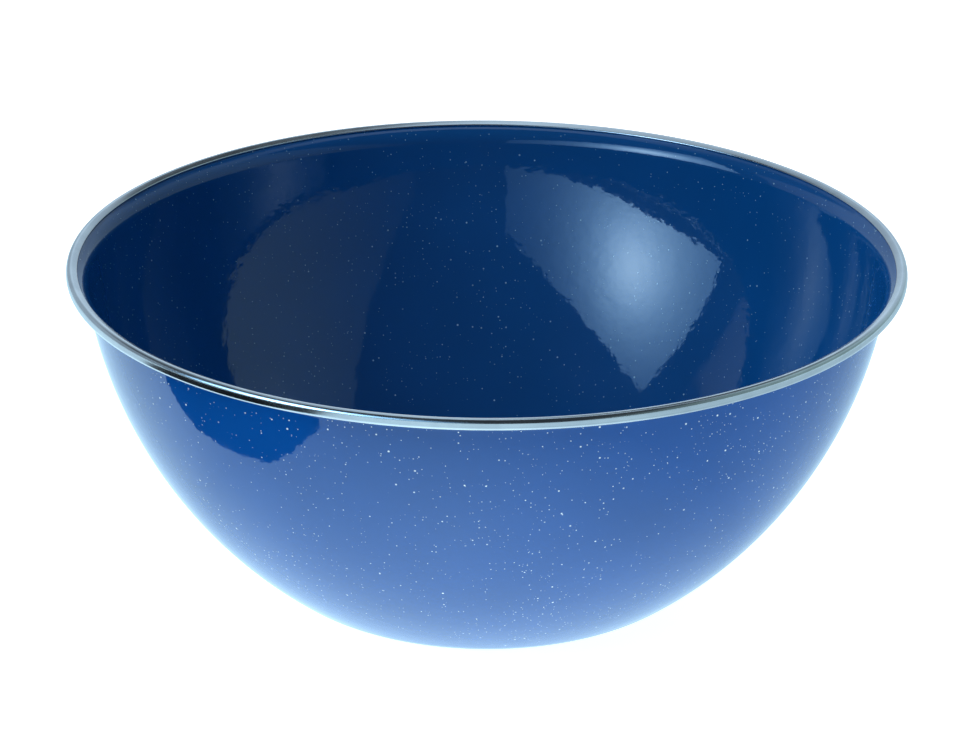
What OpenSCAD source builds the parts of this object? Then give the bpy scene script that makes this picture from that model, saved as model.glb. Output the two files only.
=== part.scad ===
// Enamel basin bowl: a pressed steel shell, enamelled on both faces, with a rolled metal rim band.
// The origin is the middle of the base on the table, and +Z is up.

/* [Bowl] */
// Diameter over the rim band
rim_diameter = 300; // [280:1:320]
// Height from the table to the top of the rim band
bowl_height = 124; // [116:1:132]
// Diameter of the flat that the bowl stands on
base_diameter = 116; // [100:1:130]
// Outside radius of the bend from the flat base into the wall
base_bend_radius = 35; // [25:1:45]
// Outside radius of the wall's long curve, seen from the side
wall_radius = 168; // [160:1:190]

/* [Lip] */
// Outside radius of the flare that turns the wall out below the rim band
lip_radius = 6; // [4.5:0.1:8]
// Angle between the flared edge and the vertical
lip_angle = 68; // [60:1:75]
// Straight length of the flared edge, up to its end inside the rim band
edge_length = 1.8; // [1.5:0.1:2.2]
// Height of the edge's end above the middle of the rim band
edge_rise = 0.7; // [0.4:0.1:0.8]

/* [Layers] */
// Thickness of the pressed steel sheet
steel_thickness = 0.6; // [0.5:0.05:0.7]
// Thickness of the dark ground coat on each face of the steel
ground_coat_thickness = 0.12; // [0.1:0.01:0.15]
// Thickness of the blue cover coat over each ground coat
cover_coat_thickness = 0.2; // [0.15:0.01:0.25]

/* [Rim band] */
// Width of the rim band, from its inside to its outside
band_width = 3.3; // [3.1:0.1:4]
// Height of the rim band
band_height = 4.25; // [4:0.05:5.5]
// Thickness of the strip that the rim band is rolled from
strip_thickness = 0.4; // [0.3:0.05:0.45]
// Gap between the rim band's edges and the enamel that they grip
crimp_gap = 0.02; // [0.01:0.01:0.05]

/* [Hidden] */
$fn = 180;

// Degrees between the points along the large curves, and along the small ones at the rim
arc_step = 2.5;
small_arc_step = 7.5;

// Depth of each face below the outside of the bowl, from the outside in
outer_ground_depth = cover_coat_thickness;
steel_depth = outer_ground_depth + ground_coat_thickness;
inner_ground_depth = steel_depth + steel_thickness;
inner_cover_depth = inner_ground_depth + ground_coat_thickness;
wall_thickness = inner_cover_depth + cover_coat_thickness;

// Section of the rim: the middle of the band, and the flared edge that ends inside it
band_middle = [(rim_diameter - band_width) / 2, bowl_height - band_height / 2];
edge_direction = [sin(lip_angle), cos(lip_angle)];
edge_normal = [cos(lip_angle), -sin(lip_angle)];
edge_end = band_middle + [0, edge_rise];
outer_edge_end = edge_end + edge_normal * wall_thickness / 2;

// Centres of the outside curves: the wall's circle touches the base bend and the flare
bend_centre = [base_diameter / 2, base_bend_radius];
lip_centre = outer_edge_end - edge_direction * edge_length + edge_normal * lip_radius;
wall_centre = circle_crossing(
    bend_centre,
    wall_radius - base_bend_radius,
    lip_centre,
    wall_radius + lip_radius
);
wall_start_angle = angle_of(bend_centre - wall_centre);
wall_end_angle = angle_of(lip_centre - wall_centre);

// The angle of a vector
function angle_of(v) = atan2(v[1], v[0]);

// Where two circles cross, on the left of the line from the first centre to the second
function circle_crossing(first, first_radius, second, second_radius) =
    let (
        gap = norm(second - first),
        along = (second - first) / gap,
        left = [-along[1], along[0]],
        run = (first_radius^2 - second_radius^2 + gap^2) / (2 * gap)
    )
    first + along * run + left * sqrt(first_radius^2 - run^2);

// Points along an arc after its start, which is the end of the line before it
function arc(centre, radius, start, end, step = arc_step) =
    let (steps = ceil(abs(end - start) / step))
    [
        for (i = [1:steps])
            let (angle = start + (end - start) * i / steps)
            centre + radius * [cos(angle), sin(angle)]
    ];

// The bowl's section at a depth below its outside, from the axis to the end of the flared edge
function section_line(depth) = concat(
    [[0, depth], [base_diameter / 2, depth]],
    arc(bend_centre, base_bend_radius - depth, -90, wall_start_angle),
    arc(wall_centre, wall_radius - depth, wall_start_angle, wall_end_angle),
    arc(lip_centre, lip_radius + depth, 180 + wall_end_angle, 180 - lip_angle, small_arc_step),
    [outer_edge_end - edge_normal * depth]
);

function reversed(points) = [for (i = [len(points) - 1:-1:0]) points[i]];

// One layer of the wall, between two depths below the outside
module layer(outer_depth, inner_depth) {
    rotate_extrude()
        polygon(concat(section_line(outer_depth), reversed(section_line(inner_depth))));
}

// An upright oval with half-round ends, round the middle of the rim band
module oval(width, height) {
    end_offset = [0, (height - width) / 2];
    polygon(concat(
        arc(band_middle + end_offset, width / 2, 0, 180, small_arc_step),
        [band_middle - end_offset - [width / 2, 0]],
        arc(band_middle - end_offset, width / 2, 180, 360, small_arc_step),
        [band_middle + end_offset + [width / 2, 0]]
    ));
}

// The slot that the rim band leaves for the flared edge
module edge_slot() {
    half_slot = edge_normal * (wall_thickness / 2 + crimp_gap);
    slot_mouth = edge_end - edge_direction * band_width;
    polygon([
        edge_end - half_slot,
        edge_end + half_slot,
        slot_mouth + half_slot,
        slot_mouth - half_slot
    ]);
}

// Pressed sheet steel, from the base to its flared edge
module steel_shell() {
    color("slategray")
        layer(steel_depth, inner_ground_depth);
}

// First enamel coat on the outside of the steel
module outer_ground_coat() {
    color("midnightblue")
        layer(outer_ground_depth, steel_depth);
}

// First enamel coat on the inside of the steel
module inner_ground_coat() {
    color("midnightblue")
        layer(inner_ground_depth, inner_cover_depth);
}

// Blue cover coat on the outside, which the bowl stands on
module outer_enamel() {
    color([0.1, 0.35, 0.68])
        layer(0, outer_ground_depth);
}

// Blue cover coat on the inside
module inner_enamel() {
    color([0.02, 0.2, 0.45])
        layer(inner_cover_depth, wall_thickness);
}

// Polished strip rolled round the flared edge into a slit oval tube
module rim_band() {
    color("lightsteelblue")
        rotate_extrude()
            difference() {
                oval(band_width, band_height);
                oval(band_width - 2 * strip_thickness, band_height - 2 * strip_thickness);
                edge_slot();
            }
}

steel_shell();
outer_ground_coat();
inner_ground_coat();
outer_enamel();
inner_enamel();
rim_band();
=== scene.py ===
"""An enamel basin bowl: blue speckled enamel inside and out, with a polished rim band.

Lengths are in metres and angles in degrees. The bowl stands on z = 0 with its axis on Z.
"""

from math import asin, cos, degrees, pi, radians, sin, sqrt

import bmesh
import bpy
from mathutils import Matrix, Vector


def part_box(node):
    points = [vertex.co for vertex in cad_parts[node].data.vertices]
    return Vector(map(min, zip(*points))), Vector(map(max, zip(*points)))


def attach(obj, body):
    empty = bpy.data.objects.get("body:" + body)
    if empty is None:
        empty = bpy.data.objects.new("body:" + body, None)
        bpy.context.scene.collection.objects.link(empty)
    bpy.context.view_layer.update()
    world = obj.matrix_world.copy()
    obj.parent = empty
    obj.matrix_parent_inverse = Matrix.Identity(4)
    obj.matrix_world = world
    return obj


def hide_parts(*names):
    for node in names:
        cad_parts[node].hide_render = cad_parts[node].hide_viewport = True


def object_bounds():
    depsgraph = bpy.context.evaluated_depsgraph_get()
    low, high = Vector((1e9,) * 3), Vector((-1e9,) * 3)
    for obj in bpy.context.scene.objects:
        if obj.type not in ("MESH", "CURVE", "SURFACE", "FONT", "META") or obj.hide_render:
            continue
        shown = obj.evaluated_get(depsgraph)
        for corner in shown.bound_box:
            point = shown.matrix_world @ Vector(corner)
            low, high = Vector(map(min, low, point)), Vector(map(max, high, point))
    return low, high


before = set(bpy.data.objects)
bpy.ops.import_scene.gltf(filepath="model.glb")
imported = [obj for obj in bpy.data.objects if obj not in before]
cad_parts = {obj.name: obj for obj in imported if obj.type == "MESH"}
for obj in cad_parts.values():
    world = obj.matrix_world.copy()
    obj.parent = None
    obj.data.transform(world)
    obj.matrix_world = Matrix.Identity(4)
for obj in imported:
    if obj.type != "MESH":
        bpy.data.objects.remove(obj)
cad_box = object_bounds()

MM = 0.001
MERGE_DISTANCE = 0.002 * MM

# Section of the bowl, as the solids have it
BASE_RADIUS = 58 * MM
BEND_RADIUS = 35 * MM
WALL_RADIUS = 168 * MM
LIP_RADIUS = 6 * MM
LIP_ANGLE = 68
EDGE_LENGTH = 1.8 * MM
EDGE_RISE = 0.7 * MM
COVER_COAT = 0.2 * MM
GROUND_COAT = 0.12 * MM
STEEL = 0.6 * MM
WALL_THICKNESS = STEEL + 2 * (GROUND_COAT + COVER_COAT)

# The rolled rim band
BAND_WIDTH = 3.3 * MM
BAND_HEIGHT = 4.25 * MM
STRIP = 0.4 * MM
TOP_LEG = 1.65 * MM
BAND_MIDDLE = Vector((
    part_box("rim_band")[1].x - BAND_WIDTH / 2,
    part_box("rim_band")[1].z - BAND_HEIGHT / 2,
))

# How finely the curves are cut
TURN_STEPS = 180
BASE_STEPS = 12
BEND_STEPS = 24
WALL_STEPS = 48
LIP_STEPS = 14
BAND_END_STEPS = 20
STRIP_EDGE_STEPS = 8
SHARP_ANGLE = 50

# Ranges that most of a noise pattern falls in
NOISE_RANGE = (0.3, 0.7)
NARROW_NOISE_RANGE = (0.35, 0.65)

# The blue of the cover coats, and how it clouds
OUTER_DEEP_BLUE = (0.001, 0.057, 0.265, 1)
OUTER_LIGHT_BLUE = (0.002, 0.067, 0.31, 1)
INNER_DEEP_BLUE = (0.002, 0.069, 0.27, 1)
INNER_LIGHT_BLUE = (0.003, 0.081, 0.315, 1)
CLOUD_SIZE = 55 * MM
CLOUD_DETAIL = 3

# The glass surface of the cover coats
ENAMEL_IOR = 1.6
ENAMEL_ROUGHNESS = (0.035, 0.06)
GLOSS_PATCH_SIZE = 18 * MM
RIPPLE_SIZE = 5 * MM
RIPPLE_DETAIL = 2
SWELL_SIZE = 30 * MM
SWELL_DETAIL = 1
SWELL_SHARE = 2.0
WAVE_DEPTH = 0.05 * MM

# White flecks: how far apart their cells are, how large the largest is, and how they vary
OUTER_FLECK_WHITE = (0.72, 0.92, 1.0, 1)
INNER_FLECK_WHITE = (0.28, 0.57, 0.82, 1)
OUTER_FLECK_SHARE = 0.9
INNER_FLECK_SHARE = 0.6
LARGE_FLECK_SPACING = 3.0 * MM
LARGE_FLECK_RADIUS = 0.44 * MM
SMALL_FLECK_SPACING = 1.5 * MM
SMALL_FLECK_RADIUS = 0.27 * MM
CROWDING_SIZE = 40 * MM
SPARSE_SHARE = 0.3
SMALLEST_FLECK = 0.45
FLECK_CORE = 0.6
FAINTEST_FLECK = 0.35

# The rim's polished steel
DULL_RIM = (0.56, 0.57, 0.59, 1)
BRIGHT_RIM = (0.66, 0.67, 0.68, 1)
RIM_ROUGHNESS = (0.14, 0.2)
SMEAR_SIZE = 14 * MM
SMEAR_DETAIL = 3
LINE_SIZE = 0.12 * MM
LINE_DETAIL = 3
LINE_NOISE_ROUGHNESS = 0.6
LINE_STRETCH = (0.02, 0.02, 0.02)
LINE_ROUGHNESS = 0.05
LINE_DEPTH = 0.004 * MM
LINE_STRENGTH = 0.3

# The hidden layers
DARK_SHEET = (0.3, 0.3, 0.31, 1)
LIGHT_SHEET = (0.5, 0.5, 0.52, 1)
SHEET_ROUGHNESS = (0.45, 0.65)
SHEET_GRAIN_SIZE = 1.5 * MM
SHEET_GRAIN_DETAIL = 4
DARK_GROUND = (0.004, 0.006, 0.02, 1)
LIGHT_GROUND = (0.01, 0.014, 0.04, 1)
GROUND_ROUGHNESS = (0.2, 0.35)
GROUND_PIT_SIZE = 0.8 * MM
GROUND_PIT_DETAIL = 3

# The camera, as the outline in the photograph gives it
IMAGE_WIDTH = 960
IMAGE_HEIGHT = 743
FOCAL_PIXELS = 4200
SENSOR_WIDTH = 36
VIEW_ELEVATION = 23.02
VIEW_DISTANCE = 1525.8 * MM
VIEW_ROLL = 0.3
BOWL_MIDDLE_PIXEL = Vector((486.15, 415.33))

NEUTRAL_WHITE = (1, 1, 1, 1)
BLACK = (0, 0, 0, 1)

# The floor: its paint, and the level at which the camera sees it
FLOOR_HALF_WIDTH = 8
FLOOR_CLEARANCE = 0.05 * MM
FLOOR_PAINT = (0.85, 0.85, 0.85, 1)
FLOOR_WHITE = 0.92

# The floor's painted glow, which only reflections see: a slanting sweep from bright to dim, and a painted
# pool of light in front of the bowl
FLOOR_COOL_WHITE = (0.57, 0.83, 1.0, 1)
SWEEP_TURN = -0.9
SWEEP_SIDES = (-0.15, 0.38)
SWEEP_LEVELS = (1.58, 0.76)
POOL_MIDDLE = (-0.015, -0.155, 0)
POOL_RADIUS = 0.17
POOL_LEVEL = 0.97

# Further out than this edge, the painted glow that reflections see has these levels from left to right
FAR_EDGE = (0.29, 0.38)
FAR_SIDES = (0.05, 0.35)
FAR_LEVELS = (1.2, 0.86)

# A dark card on the floor, in X and Y, which only reflections see: it paints a dark reflection on the bowl
CARD_HEIGHT = 1 * MM
CARD_PAINT = (0.01, 0.012, 0.015, 1)
CARD_OUTLINE = [
    (-0.157, -0.130),
    (-0.210, -0.064),
    (-0.290, -0.020),
    (-1.200, -0.080),
    (-1.100, -1.400),
    (-0.300, -0.410),
    (-0.166, -0.228),
    (-0.155, -0.160),
]

# The room: a pale backdrop behind that dims to both sides, given as ranges of direction with their two levels
COOL_WHITE = (0.6, 0.81, 1.0, 1)
ROOM_LEVEL = 0.06
BACKDROP_FRONT = (-0.02, 0.04)
BACKDROP_LEFT = (-0.55, -0.05, 0.1, 1.06)
BACKDROP_RIGHT = (0.0, 0.9, 1.06, 0.06)
# The left side's foot stays brighter up to a height, more so towards the back
FOOT_TOP = (0.5, 0.56, 1.0, 0.0)
FOOT_SIDES = (0.0, 0.6, 0.3, 0.64)
# A dark stand hides a round patch of the backdrop
DARK_STAND = (0.34, 0.545, 0.766)
DARK_STAND_EDGE = (0.93, 0.97, 1.0, 0.12)

# Lights that the gloss shows: each panel's middle, length, height and radiance, and its glow round a tube
SOFTBOX = {
    "middle": Vector((-0.942, -1.869, 0.907)),
    "along": Vector((-1.154, 3.240, 0.202)),
    "up": Vector((-0.081, -0.137, 1.232)),
    "radiance": 1.0,
}
SOFTBOX_GLOW = {
    "tube": (0.234, 0.324, 0),
    "reach": 0.42,
    "bright": 9.4,
    "dim": 0.21,
    "core_tint": (0.48, 0.75, 1.0, 1),
    "edge_tint": (0.33, 0.70, 1.12, 1),
}
REFLECTOR_TINT = (0.6, 0.95, 1.0, 1)
RIGHT_REFLECTOR = {
    "middle": Vector((0.75, -0.373, 0.349)),
    "along": Vector((0.43, -3.7, -0.86)),
    "up": Vector((0, -0.244, 1.098)),
    "radiance": 0.26,
}
REFLECTOR_GLOW = {
    "tube": (0.62, 0.45, 0),
    "reach": 0.76,
    "bright": 1.4,
    "dim": 0.02,
    "core_tint": REFLECTOR_TINT,
    "edge_tint": REFLECTOR_TINT,
}

# Lights that the gloss doesn't show
TABLE_HEIGHT = 0.5 * MM
UNSEEN_LIGHTS = {
    "key_softbox": {
        "middle": Vector((-1.41, -0.91, 1.19)),
        "along": Vector((-0.804, 1.147, 0)),
        "up": Vector((0.752, 0.528, 1.309)),
        "radiance": 3.2,
    },
    "front_light_table": {
        "middle": Vector((0.64, -0.4, TABLE_HEIGHT)),
        "along": Vector((1.6, 0, 0)),
        "up": Vector((0, 1.6, 0)),
        "radiance": 1.28,
    },
    "left_light_table": {
        "middle": Vector((-0.58, 0.4, TABLE_HEIGHT)),
        "along": Vector((0.84, 0, 0)),
        "up": Vector((0, 0.8, 0)),
        "radiance": 0.8,
    },
    "left_back_light": {
        "middle": Vector((-0.95, 0.55, 0.35)),
        "along": Vector((0.5, 0.86, 0)),
        "up": Vector((0.1, -0.06, 0.6)),
        "radiance": 1.2,
    },
}


def turned(vector, angle):
    """A flat vector turned anticlockwise."""
    return Matrix.Rotation(radians(angle), 2) @ vector


def circles_meet(first, first_radius, second, second_radius):
    """The point at those two distances from two centres, on the left of the line from first to second."""
    apart = second - first
    along = apart.normalized()
    run = (first_radius**2 - second_radius**2 + apart.length_squared) / (2 * apart.length)
    return first + along * run + turned(along, 90) * sqrt(first_radius**2 - run**2)


def bearing(vector):
    """The angle of a flat vector from the first axis, in degrees."""
    return -degrees(Vector((1, 0)).angle_signed(vector))


# Centres of the section's curves, in radius and height
EDGE_DIRECTION = Vector((sin(radians(LIP_ANGLE)), cos(radians(LIP_ANGLE))))
EDGE_NORMAL = turned(EDGE_DIRECTION, -90)
EDGE_END = BAND_MIDDLE + Vector((0, EDGE_RISE)) + EDGE_NORMAL * WALL_THICKNESS / 2
BEND_CENTRE = Vector((BASE_RADIUS, BEND_RADIUS))
LIP_CENTRE = EDGE_END - EDGE_DIRECTION * EDGE_LENGTH + EDGE_NORMAL * LIP_RADIUS
WALL_CENTRE = circles_meet(BEND_CENTRE, WALL_RADIUS - BEND_RADIUS, LIP_CENTRE, WALL_RADIUS + LIP_RADIUS)
WALL_START = bearing(BEND_CENTRE - WALL_CENTRE)
WALL_END = bearing(LIP_CENTRE - WALL_CENTRE)


def line_to(mesh, tip, point):
    """Draws the section on from its tip to a point in radius and height, and returns the new tip."""
    drawn = bmesh.ops.extrude_vert_indiv(mesh, verts=[tip])
    drawn["verts"][0].co = (point.x, 0, point.y)
    return drawn["verts"][0]


def arc_to(mesh, tip, centre, sweep, steps):
    """Draws the section on from its tip along an arc, anticlockwise if sweep is positive."""
    drawn = bmesh.ops.spin(
        mesh,
        geom=[tip],
        cent=(centre.x, 0, centre.y),
        axis=(0, -1, 0),
        angle=radians(sweep),
        steps=steps,
    )
    return drawn["geom_last"][0]


def wall_line(mesh, depth):
    """Draws the bowl's section at a depth below its outside, from the axis to the end of the flared edge."""
    tip = mesh.verts.new((0, 0, depth))
    for step in range(BASE_STEPS):
        tip = line_to(mesh, tip, Vector((BASE_RADIUS * (step + 1) / BASE_STEPS, depth)))
    tip = arc_to(mesh, tip, BEND_CENTRE, WALL_START + 90, BEND_STEPS)
    tip = arc_to(mesh, tip, WALL_CENTRE, WALL_END - WALL_START, WALL_STEPS)
    tip = arc_to(mesh, tip, LIP_CENTRE, -LIP_ANGLE - WALL_END, LIP_STEPS)
    return line_to(mesh, tip, EDGE_END - EDGE_NORMAL * depth)


def turn_section(mesh, name):
    """Turns the drawn section once round the bowl's axis and makes the piece of it."""
    bmesh.ops.spin(
        mesh,
        geom=mesh.verts[:] + mesh.edges[:],
        cent=(0, 0, 0),
        axis=(0, 0, 1),
        angle=2 * pi,
        steps=TURN_STEPS,
        use_merge=True,
    )
    bmesh.ops.remove_doubles(mesh, verts=mesh.verts[:], dist=MERGE_DISTANCE)
    bmesh.ops.recalc_face_normals(mesh, faces=mesh.faces[:])
    data = bpy.data.meshes.new(name)
    mesh.to_mesh(data)
    mesh.free()
    data.polygons.foreach_set("use_smooth", [True] * len(data.polygons))
    data.set_sharp_from_angle(angle=radians(SHARP_ANGLE))
    piece = bpy.data.objects.new(name, data)
    bpy.context.scene.collection.objects.link(piece)
    return piece


def enamel_coat(name, outer_depth, inner_depth):
    """One cover coat, closed over its edge inside the rim band."""
    mesh = bmesh.new()
    outer_tip = wall_line(mesh, outer_depth)
    inner_tip = wall_line(mesh, inner_depth)
    mesh.edges.new((outer_tip, inner_tip))
    return turn_section(mesh, name)


def rolled_rim(name):
    """The strip rolled into a slit oval tube, with a hemmed leg on top that closes on the lip."""
    outer_radius = BAND_WIDTH / 2
    inner_radius = outer_radius - STRIP
    middle_radius = outer_radius - STRIP / 2
    top = BAND_MIDDLE + Vector((0, BAND_HEIGHT / 2 - outer_radius))
    bottom = BAND_MIDDLE - Vector((0, BAND_HEIGHT / 2 - outer_radius))
    out = Vector((1, 0))
    # The top leg runs in over the lip, parallel to it, and its edge is folded under
    top_sweep = 180 - LIP_ANGLE
    top_normal = turned(out, top_sweep)
    leg = EDGE_DIRECTION * TOP_LEG
    hem = top_normal * 2 * STRIP
    # The lower edge stops where its rounding meets the enamel under the lip
    lip_middle = BAND_MIDDLE.y + EDGE_RISE - middle_radius * EDGE_DIRECTION.y / EDGE_DIRECTION.x
    edge_reach = WALL_THICKNESS / 2 / EDGE_DIRECTION.x + STRIP / 2
    bottom_sweep = 180 - degrees(asin((bottom.y - lip_middle + edge_reach) / middle_radius))
    lower_edge = bottom + turned(out, -bottom_sweep) * middle_radius

    mesh = bmesh.new()
    start = top + top_normal * outer_radius - leg
    first = mesh.verts.new((start.x, 0, start.y))
    tip = line_to(mesh, first, start + leg)
    tip = arc_to(mesh, tip, top, -top_sweep, BAND_END_STEPS)
    tip = line_to(mesh, tip, bottom + out * outer_radius)
    tip = arc_to(mesh, tip, bottom, -bottom_sweep, BAND_END_STEPS)
    tip = arc_to(mesh, tip, lower_edge, -180, STRIP_EDGE_STEPS)
    tip = arc_to(mesh, tip, bottom, bottom_sweep, BAND_END_STEPS)
    tip = line_to(mesh, tip, top + out * inner_radius)
    tip = arc_to(mesh, tip, top, top_sweep, BAND_END_STEPS)
    tip = line_to(mesh, tip, start - hem)
    arc_to(mesh, tip, start - hem / 2, -180, STRIP_EDGE_STEPS)
    return turn_section(mesh, name)


def add_node(tree, kind, inputs=None, **settings):
    """Adds a node, sets its settings and its inputs, and links those inputs that are given as sockets."""
    node = tree.nodes.new(kind)
    for key, value in settings.items():
        setattr(node, key, value)
    for key, value in (inputs or {}).items():
        if isinstance(value, bpy.types.NodeSocket):
            tree.links.new(value, node.inputs[key])
        else:
            node.inputs[key].default_value = value
    return node


def maths(tree, operation, *numbers):
    """A sum, product or other operation on numbers."""
    return add_node(tree, "ShaderNodeMath", dict(enumerate(numbers)), operation=operation).outputs[0]


def vector_maths(tree, operation, *vectors):
    """The outputs of an operation on vectors, one for a vector and one for a number."""
    return add_node(tree, "ShaderNodeVectorMath", dict(enumerate(vectors)), operation=operation).outputs


def remap(tree, value, low, high, new_low=0.0, new_high=1.0):
    """A number taken from one range to another, and held inside it."""
    settings = {"Value": value, "From Min": low, "From Max": high, "To Min": new_low, "To Max": new_high}
    return add_node(tree, "ShaderNodeMapRange", settings).outputs["Result"]


def mix_colours(tree, factor, first, second):
    """One colour going over to another."""
    node = add_node(tree, "ShaderNodeMix", data_type="RGBA")
    sockets = {socket.identifier: socket for socket in node.inputs}
    for key, value in {"Factor_Float": factor, "A_Color": first, "B_Color": second}.items():
        if isinstance(value, bpy.types.NodeSocket):
            tree.links.new(value, sockets[key])
        else:
            sockets[key].default_value = value
    return next(socket for socket in node.outputs if socket.identifier == "Result_Color")


def noise(tree, place, size, detail=2.0, rough=0.5):
    """Noise with features of about that size in metres."""
    settings = {"Vector": place, "Scale": 1 / size, "Detail": detail, "Roughness": rough}
    return add_node(tree, "ShaderNodeTexNoise", settings).outputs["Fac"]


def new_finish(name):
    """A new material, with its node tree, its shader and the piece's own coordinates."""
    material = bpy.data.materials.new(name)
    material.use_nodes = True
    tree = material.node_tree
    place = add_node(tree, "ShaderNodeTexCoord").outputs["Object"]
    return material, tree, tree.nodes["Principled BSDF"], place


def flecks(tree, place, spacing, radius, share):
    """White flecks of mixed size, given as how strongly each point is covered."""
    cells = add_node(tree, "ShaderNodeTexVoronoi", {"Vector": place, "Scale": 1 / spacing})
    chance = add_node(tree, "ShaderNodeSeparateColor", {"Color": cells.outputs["Color"]}).outputs
    crowd = noise(tree, place, CROWDING_SIZE)
    crowding = remap(tree, crowd, *NARROW_NOISE_RANGE, SPARSE_SHARE * share, share)
    present = maths(tree, "LESS_THAN", chance["Red"], crowding)
    largest = radius / spacing
    reach = remap(tree, chance["Green"], 0, 1, SMALLEST_FLECK * largest, largest)
    near = maths(tree, "DIVIDE", cells.outputs["Distance"], reach)
    dot = remap(tree, near, 1.0, FLECK_CORE)
    strength = remap(tree, chance["Blue"], 0, 1, FAINTEST_FLECK, 1.0)
    return maths(tree, "MULTIPLY", maths(tree, "MULTIPLY", dot, present), strength)


def speckled_enamel(name, deep, light, fleck_share, fleck_white):
    """Glossy cobalt enamel with white flecks, a slightly cloudy colour and a faintly wavy glass surface."""
    material, tree, shader, place = new_finish(name)
    cloud = remap(tree, noise(tree, place, CLOUD_SIZE, detail=CLOUD_DETAIL), *NOISE_RANGE)
    blue = mix_colours(tree, cloud, deep, light)
    large = flecks(tree, place, LARGE_FLECK_SPACING, LARGE_FLECK_RADIUS, fleck_share)
    small = flecks(tree, place, SMALL_FLECK_SPACING, SMALL_FLECK_RADIUS, fleck_share)
    cover = maths(tree, "MAXIMUM", large, small)
    colour = mix_colours(tree, cover, blue, fleck_white)
    tree.links.new(colour, shader.inputs["Base Color"])
    gloss = remap(tree, noise(tree, place, GLOSS_PATCH_SIZE), *NOISE_RANGE, *ENAMEL_ROUGHNESS)
    tree.links.new(gloss, shader.inputs["Roughness"])
    shader.inputs["IOR"].default_value = ENAMEL_IOR
    ripple = noise(tree, place, RIPPLE_SIZE, detail=RIPPLE_DETAIL)
    swell = noise(tree, place, SWELL_SIZE, detail=SWELL_DETAIL)
    wave = maths(tree, "ADD", maths(tree, "MULTIPLY", swell, SWELL_SHARE), ripple)
    bump = add_node(tree, "ShaderNodeBump", {"Height": wave, "Strength": 1.0, "Distance": WAVE_DEPTH})
    tree.links.new(bump.outputs["Normal"], shader.inputs["Normal"])
    return material


def polished_rim_steel(name):
    """Bright stainless steel, with fine polishing lines that run round the rim and a few soft smears."""
    material, tree, shader, place = new_finish(name)
    axes = add_node(tree, "ShaderNodeSeparateXYZ", {"Vector": place}).outputs
    flat = add_node(tree, "ShaderNodeCombineXYZ", {"X": axes["X"], "Y": axes["Y"], "Z": 0.0}).outputs[0]
    radius = vector_maths(tree, "LENGTH", flat)["Value"]
    around = vector_maths(tree, "MULTIPLY", flat, LINE_STRETCH)["Vector"]
    around_axes = add_node(tree, "ShaderNodeSeparateXYZ", {"Vector": around}).outputs
    lined = add_node(
        tree,
        "ShaderNodeCombineXYZ",
        {
            "X": maths(tree, "ADD", radius, around_axes["X"]),
            "Y": around_axes["Y"],
            "Z": axes["Z"],
        },
    ).outputs[0]
    lines = noise(tree, lined, LINE_SIZE, detail=LINE_DETAIL, rough=LINE_NOISE_ROUGHNESS)
    smears = noise(tree, place, SMEAR_SIZE, detail=SMEAR_DETAIL)
    steel = mix_colours(tree, remap(tree, smears, *NARROW_NOISE_RANGE), DULL_RIM, BRIGHT_RIM)
    tree.links.new(steel, shader.inputs["Base Color"])
    shader.inputs["Metallic"].default_value = 1.0
    smeared = remap(tree, smears, *NOISE_RANGE, *RIM_ROUGHNESS)
    polish = maths(tree, "ADD", smeared, maths(tree, "MULTIPLY", lines, LINE_ROUGHNESS))
    tree.links.new(polish, shader.inputs["Roughness"])
    bump = add_node(
        tree,
        "ShaderNodeBump",
        {"Height": lines, "Strength": LINE_STRENGTH, "Distance": LINE_DEPTH},
    )
    tree.links.new(bump.outputs["Normal"], shader.inputs["Normal"])
    return material


def pickled_steel(name):
    """Dull grey sheet steel, etched before it was enamelled."""
    material, tree, shader, place = new_finish(name)
    grain = noise(tree, place, SHEET_GRAIN_SIZE, detail=SHEET_GRAIN_DETAIL)
    grey = mix_colours(tree, grain, DARK_SHEET, LIGHT_SHEET)
    tree.links.new(grey, shader.inputs["Base Color"])
    shader.inputs["Metallic"].default_value = 1.0
    tree.links.new(remap(tree, grain, *NOISE_RANGE, *SHEET_ROUGHNESS), shader.inputs["Roughness"])
    return material


def dark_ground_coat(name):
    """Near-black first coat, with fine pits from firing."""
    material, tree, shader, place = new_finish(name)
    pits = noise(tree, place, GROUND_PIT_SIZE, detail=GROUND_PIT_DETAIL)
    black = mix_colours(tree, pits, DARK_GROUND, LIGHT_GROUND)
    tree.links.new(black, shader.inputs["Base Color"])
    tree.links.new(remap(tree, pits, *NOISE_RANGE, *GROUND_ROUGHNESS), shader.inputs["Roughness"])
    return material


def dress(piece, material, node):
    """Gives a piece its finish, hangs it on the root body and hides the solid it stands for."""
    piece.data.materials.append(material)
    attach(piece, "root")
    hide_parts(node)


def add_camera():
    """A long lens in front of the bowl, turned so that the bowl's middle falls on its pixel."""
    bowl_middle = Vector((0, 0, cad_box[1].z / 2))
    elevation = radians(VIEW_ELEVATION)
    back = Vector((0, -cos(elevation), sin(elevation)))
    facing = (-back).to_track_quat("-Z", "Y")
    off_axis = BOWL_MIDDLE_PIXEL - Vector((IMAGE_WIDTH, IMAGE_HEIGHT)) / 2
    aim = facing @ Vector((-off_axis.x, off_axis.y, -FOCAL_PIXELS))
    lens = bpy.data.cameras.new("camera")
    lens.sensor_width = SENSOR_WIDTH
    lens.lens = SENSOR_WIDTH * FOCAL_PIXELS / IMAGE_WIDTH
    camera = bpy.data.objects.new("camera", lens)
    camera.matrix_world = (
        Matrix.Translation(bowl_middle + back * VIEW_DISTANCE)
        @ aim.to_track_quat("-Z", "Y").to_matrix().to_4x4()
        @ Matrix.Rotation(radians(VIEW_ROLL), 4, "Z")
    )
    bpy.context.scene.collection.objects.link(camera)
    bpy.context.scene.camera = camera


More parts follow.
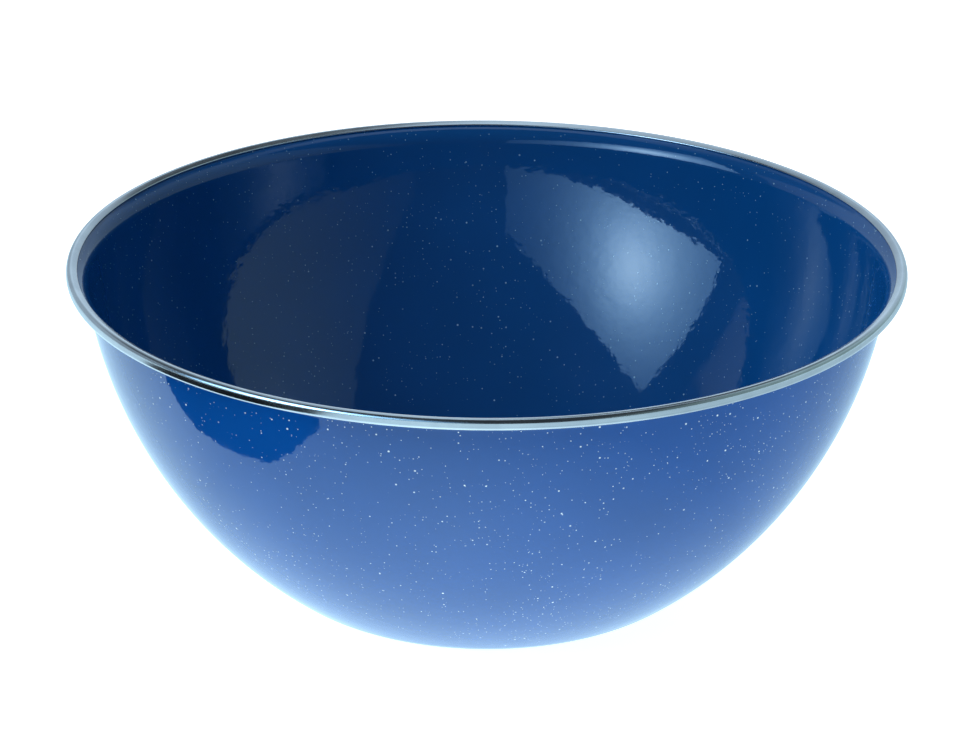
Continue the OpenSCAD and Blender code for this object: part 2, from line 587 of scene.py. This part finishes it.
def add_panel(name, middle, along, up, radiance):
    """A flat studio light that faces the side from which along points right and up points up."""
    lamp = bpy.data.lights.new(name, "AREA")
    lamp.shape = "RECTANGLE"
    lamp.size = along.length
    lamp.size_y = up.length
    lamp.energy = radiance * pi * along.length * up.length
    across = along.normalized()
    rise = (up - across * up.dot(across)).normalized()
    panel = bpy.data.objects.new(name, lamp)
    panel.matrix_world = (
        Matrix.Translation(middle) @ Matrix((-across, rise, rise.cross(across))).transposed().to_4x4()
    )
    panel.visible_camera = False
    bpy.context.scene.collection.objects.link(panel)
    return panel


def glow_from_tube(panel, tube, reach, bright, dim, core_tint, edge_tint):
    """Makes a panel brightest at its tube, whose place is given in shares of the panel's length and height.

    The shares start at the end that along points to, and at the lower edge.
    """
    panel.data.use_nodes = True
    tree = panel.data.node_tree
    place = add_node(tree, "ShaderNodeNewGeometry").outputs["Parametric"]
    offset = vector_maths(tree, "SUBTRACT", place, tube)["Vector"]
    shape = (panel.data.size / reach, panel.data.size_y / reach, 0)
    scaled = vector_maths(tree, "MULTIPLY", offset, shape)["Vector"]
    squared = vector_maths(tree, "DOT_PRODUCT", scaled, scaled)["Value"]
    falling = maths(tree, "DIVIDE", 1.0, maths(tree, "ADD", squared, 1.0))
    glow = tree.nodes["Emission"].inputs
    tree.links.new(mix_colours(tree, falling, edge_tint, core_tint), glow["Color"])
    tree.links.new(maths(tree, "MULTIPLY_ADD", falling, bright, dim), glow["Strength"])


def add_floor():
    """A white floor that keeps the bowl's shadow, and glows with painted levels of its own where reflections
    see it.
    """
    mesh = bmesh.new()
    bmesh.ops.create_grid(mesh, x_segments=1, y_segments=1, size=FLOOR_HALF_WIDTH)
    bmesh.ops.translate(mesh, verts=mesh.verts[:], vec=(0, 0, -FLOOR_CLEARANCE))
    data = bpy.data.meshes.new("floor")
    mesh.to_mesh(data)
    mesh.free()
    floor = bpy.data.objects.new("floor", data)
    bpy.context.scene.collection.objects.link(floor)
    material, tree, shader, place = new_finish("white floor")
    shader.inputs["Roughness"].default_value = 1.0
    shader.inputs["Specular IOR Level"].default_value = 0.0
    rays = add_node(tree, "ShaderNodeLightPath").outputs
    seen = rays["Is Camera Ray"]
    mirrored = maths(tree, "MAXIMUM", rays["Is Glossy Ray"], rays["Is Transmission Ray"])
    paint = mix_colours(tree, mirrored, FLOOR_PAINT, BLACK)
    tree.links.new(paint, shader.inputs["Base Color"])
    axes = add_node(tree, "ShaderNodeSeparateXYZ", {"Vector": place}).outputs
    # Painted glow for reflections: a sweep from bright to dim, a pool of light in front of the bowl, and
    # other levels further out
    across = maths(tree, "MULTIPLY_ADD", axes["Y"], SWEEP_TURN, axes["X"])
    sweep = remap(tree, across, *SWEEP_SIDES, *SWEEP_LEVELS)
    away = vector_maths(tree, "DISTANCE", place, POOL_MIDDLE)["Value"]
    near = maths(tree, "ADD", sweep, remap(tree, away, 0, POOL_RADIUS, POOL_LEVEL, 0))
    far = remap(tree, axes["X"], *FAR_SIDES, *FAR_LEVELS)
    out = vector_maths(tree, "LENGTH", place)["Value"]
    gain = maths(tree, "SUBTRACT", far, near)
    level = maths(tree, "MULTIPLY_ADD", remap(tree, out, *FAR_EDGE), gain, near)
    white = maths(tree, "MULTIPLY", seen, FLOOR_WHITE)
    glow = maths(tree, "MAXIMUM", white, maths(tree, "MULTIPLY", mirrored, level))
    tint = mix_colours(tree, seen, FLOOR_COOL_WHITE, NEUTRAL_WHITE)
    tree.links.new(tint, shader.inputs["Emission Color"])
    tree.links.new(glow, shader.inputs["Emission Strength"])
    data.materials.append(material)


def add_dark_card():
    """A dark card on the floor at the left, which only the gloss shows: it paints a dark reflection on the
    bowl.
    """
    mesh = bmesh.new()
    first = mesh.verts.new((*CARD_OUTLINE[0], CARD_HEIGHT))
    tip = first
    for corner in CARD_OUTLINE[1:]:
        drawn = bmesh.ops.extrude_vert_indiv(mesh, verts=[tip])
        tip = drawn["verts"][0]
        tip.co = (*corner, CARD_HEIGHT)
    mesh.edges.new((tip, first))
    bmesh.ops.contextual_create(mesh, geom=mesh.edges[:])
    data = bpy.data.meshes.new("dark_card")
    mesh.to_mesh(data)
    mesh.free()
    card = bpy.data.objects.new("dark_card", data)
    card.visible_camera = False
    card.visible_diffuse = False
    card.visible_shadow = False
    bpy.context.scene.collection.objects.link(card)
    material, _, shader, _ = new_finish("black card")
    shader.inputs["Base Color"].default_value = CARD_PAINT
    shader.inputs["Roughness"].default_value = 1.0
    shader.inputs["Specular IOR Level"].default_value = 0.0
    data.materials.append(material)


def light_room():
    """A white background for the camera, and for all else a dim room with a pale backdrop behind."""
    world = bpy.data.worlds.new("studio")
    bpy.context.scene.world = world
    world.use_nodes = True
    tree = world.node_tree
    rays = add_node(tree, "ShaderNodeLightPath").outputs
    direction = add_node(tree, "ShaderNodeTexCoord").outputs["Generated"]
    axes = add_node(tree, "ShaderNodeSeparateXYZ", {"Vector": direction}).outputs
    behind = remap(tree, axes["Y"], *BACKDROP_FRONT)
    foot = maths(tree, "MULTIPLY", remap(tree, axes["Z"], *FOOT_TOP), remap(tree, axes["Y"], *FOOT_SIDES))
    left = maths(tree, "MAXIMUM", remap(tree, axes["X"], *BACKDROP_LEFT), foot)
    right = remap(tree, axes["X"], *BACKDROP_RIGHT)
    towards_stand = vector_maths(tree, "DOT_PRODUCT", direction, DARK_STAND)["Value"]
    stand = remap(tree, towards_stand, *DARK_STAND_EDGE)
    sides = maths(tree, "MINIMUM", left, right)
    backdrop = maths(tree, "MULTIPLY", sides, maths(tree, "MULTIPLY", behind, stand))
    room = maths(tree, "MAXIMUM", backdrop, ROOM_LEVEL)
    tint = mix_colours(tree, rays["Is Glossy Ray"], NEUTRAL_WHITE, COOL_WHITE)
    background = tree.nodes["Background"].inputs
    tree.links.new(tint, background["Color"])
    tree.links.new(maths(tree, "MAXIMUM", rays["Is Camera Ray"], room), background["Strength"])


dress(
    enamel_coat("outer_cover_coat", 0, COVER_COAT),
    speckled_enamel(
        "outer speckled enamel",
        OUTER_DEEP_BLUE,
        OUTER_LIGHT_BLUE,
        OUTER_FLECK_SHARE,
        OUTER_FLECK_WHITE,
    ),
    "outer_enamel",
)
dress(
    enamel_coat("inner_cover_coat", WALL_THICKNESS - COVER_COAT, WALL_THICKNESS),
    speckled_enamel(
        "inner speckled enamel",
        INNER_DEEP_BLUE,
        INNER_LIGHT_BLUE,
        INNER_FLECK_SHARE,
        INNER_FLECK_WHITE,
    ),
    "inner_enamel",
)
dress(rolled_rim("rolled_rim"), polished_rim_steel("polished rim steel"), "rim_band")

HIDDEN_FINISHES = {
    "steel_shell": pickled_steel("pickled steel"),
    "outer_ground_coat": dark_ground_coat("outer ground coat"),
    "inner_ground_coat": dark_ground_coat("inner ground coat"),
}
for node_name, finish in HIDDEN_FINISHES.items():
    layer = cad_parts[node_name]
    layer.data.materials.clear()
    layer.data.materials.append(finish)

add_camera()
add_floor()
add_dark_card()
light_room()

softbox = add_panel("softbox", **SOFTBOX)
softbox.visible_diffuse = False
glow_from_tube(softbox, **SOFTBOX_GLOW)
glow_from_tube(add_panel("right_reflector", **RIGHT_REFLECTOR), **REFLECTOR_GLOW)
for light_name, panel_shape in UNSEEN_LIGHTS.items():
    add_panel(light_name, **panel_shape).visible_glossy = False

bpy.context.scene.view_settings.view_transform = "Standard"
